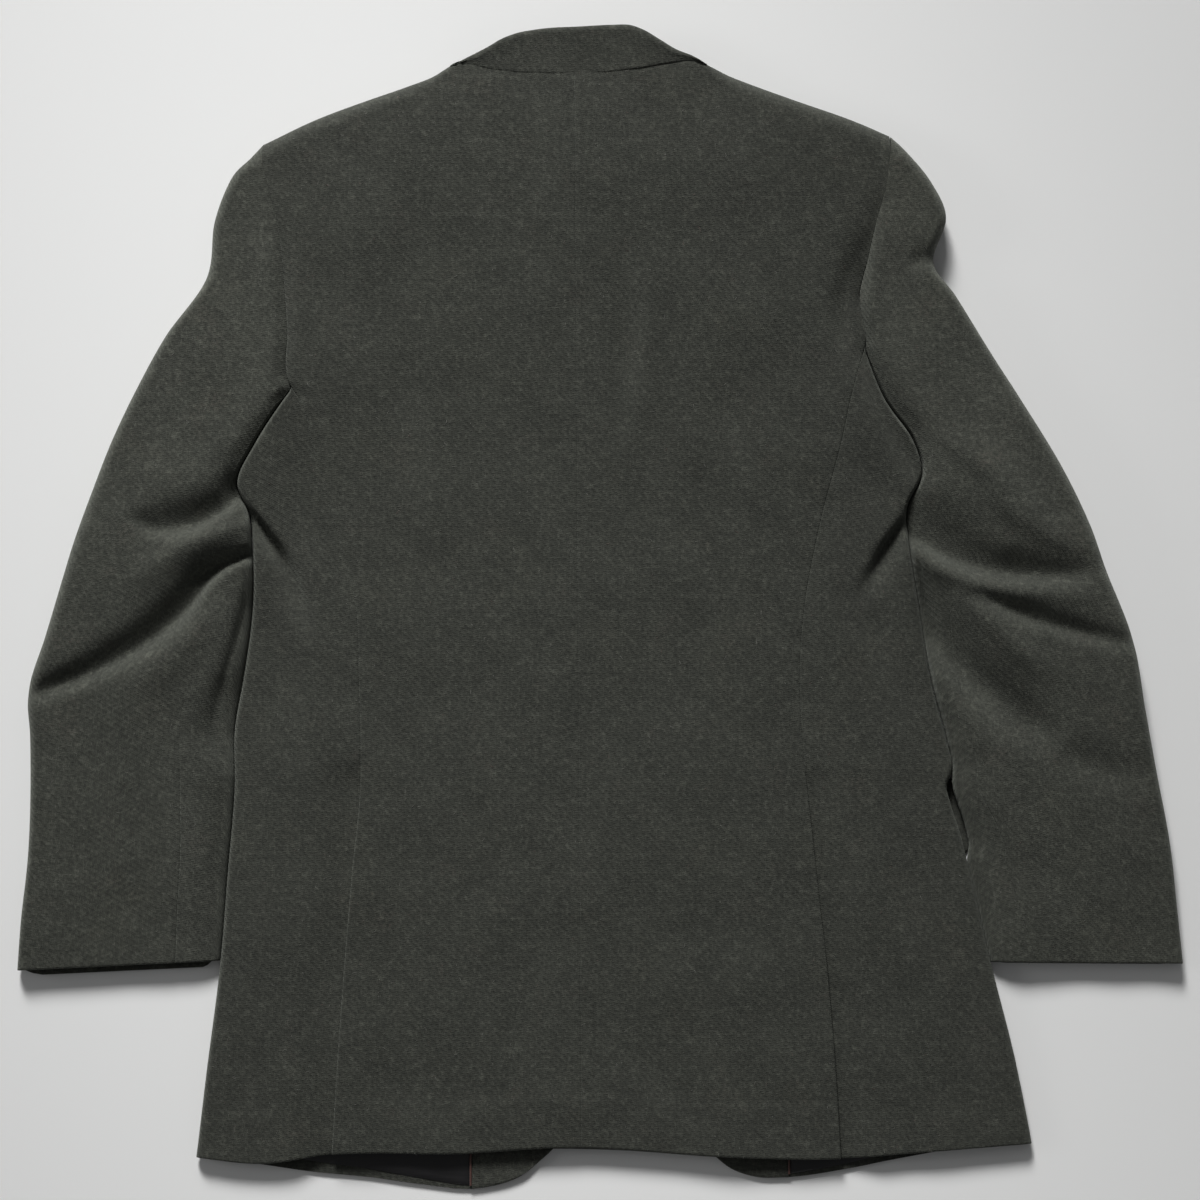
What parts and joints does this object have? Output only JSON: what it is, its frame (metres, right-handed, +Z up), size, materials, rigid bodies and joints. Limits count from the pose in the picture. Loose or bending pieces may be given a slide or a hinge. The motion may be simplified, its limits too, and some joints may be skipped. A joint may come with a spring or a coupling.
{
  "type": "tweed sport coat",
  "caption": "Tweed sport coat laid flat with its back up: notched collar, side vents, two-piece sleeves with elbow folds, fronts cut away below the back hem.",
  "frame": {"origin": "on the surface that the coat lies on, under the middle of its outline", "axes": "+X towards the coat's own right sleeve, +Y from hem to collar, +Z up off the surface, so that the back faces +Z"},
  "size_m": [0.841, 0.8377, 0.0346],
  "materials": {
    "tweed": "matt woollen tweed with short fibres",
    "lining": "smooth satin lining",
    "horn": "semi-gloss horn"
  },
  "bodies": {
    "root": {"back_left": "tweed", "back_right": "tweed", "side_left": "tweed", "side_right": "tweed", "front_left": "tweed", "front_right": "tweed", "sleeve_top_left": "tweed", "sleeve_top_right": "tweed", "sleeve_under_left": "tweed", "sleeve_under_right": "tweed", "collar": "tweed", "collar_end_left": "tweed", "collar_end_right": "tweed", "lapel_left": "tweed", "lapel_right": "tweed", "flap_left": "tweed", "flap_right": "tweed", "facing_left": "tweed", "facing_right": "tweed", "lining_left": "lining", "lining_right": "lining", "button_upper": "horn", "button_lower": "horn"}
  },
  "joints": []
}
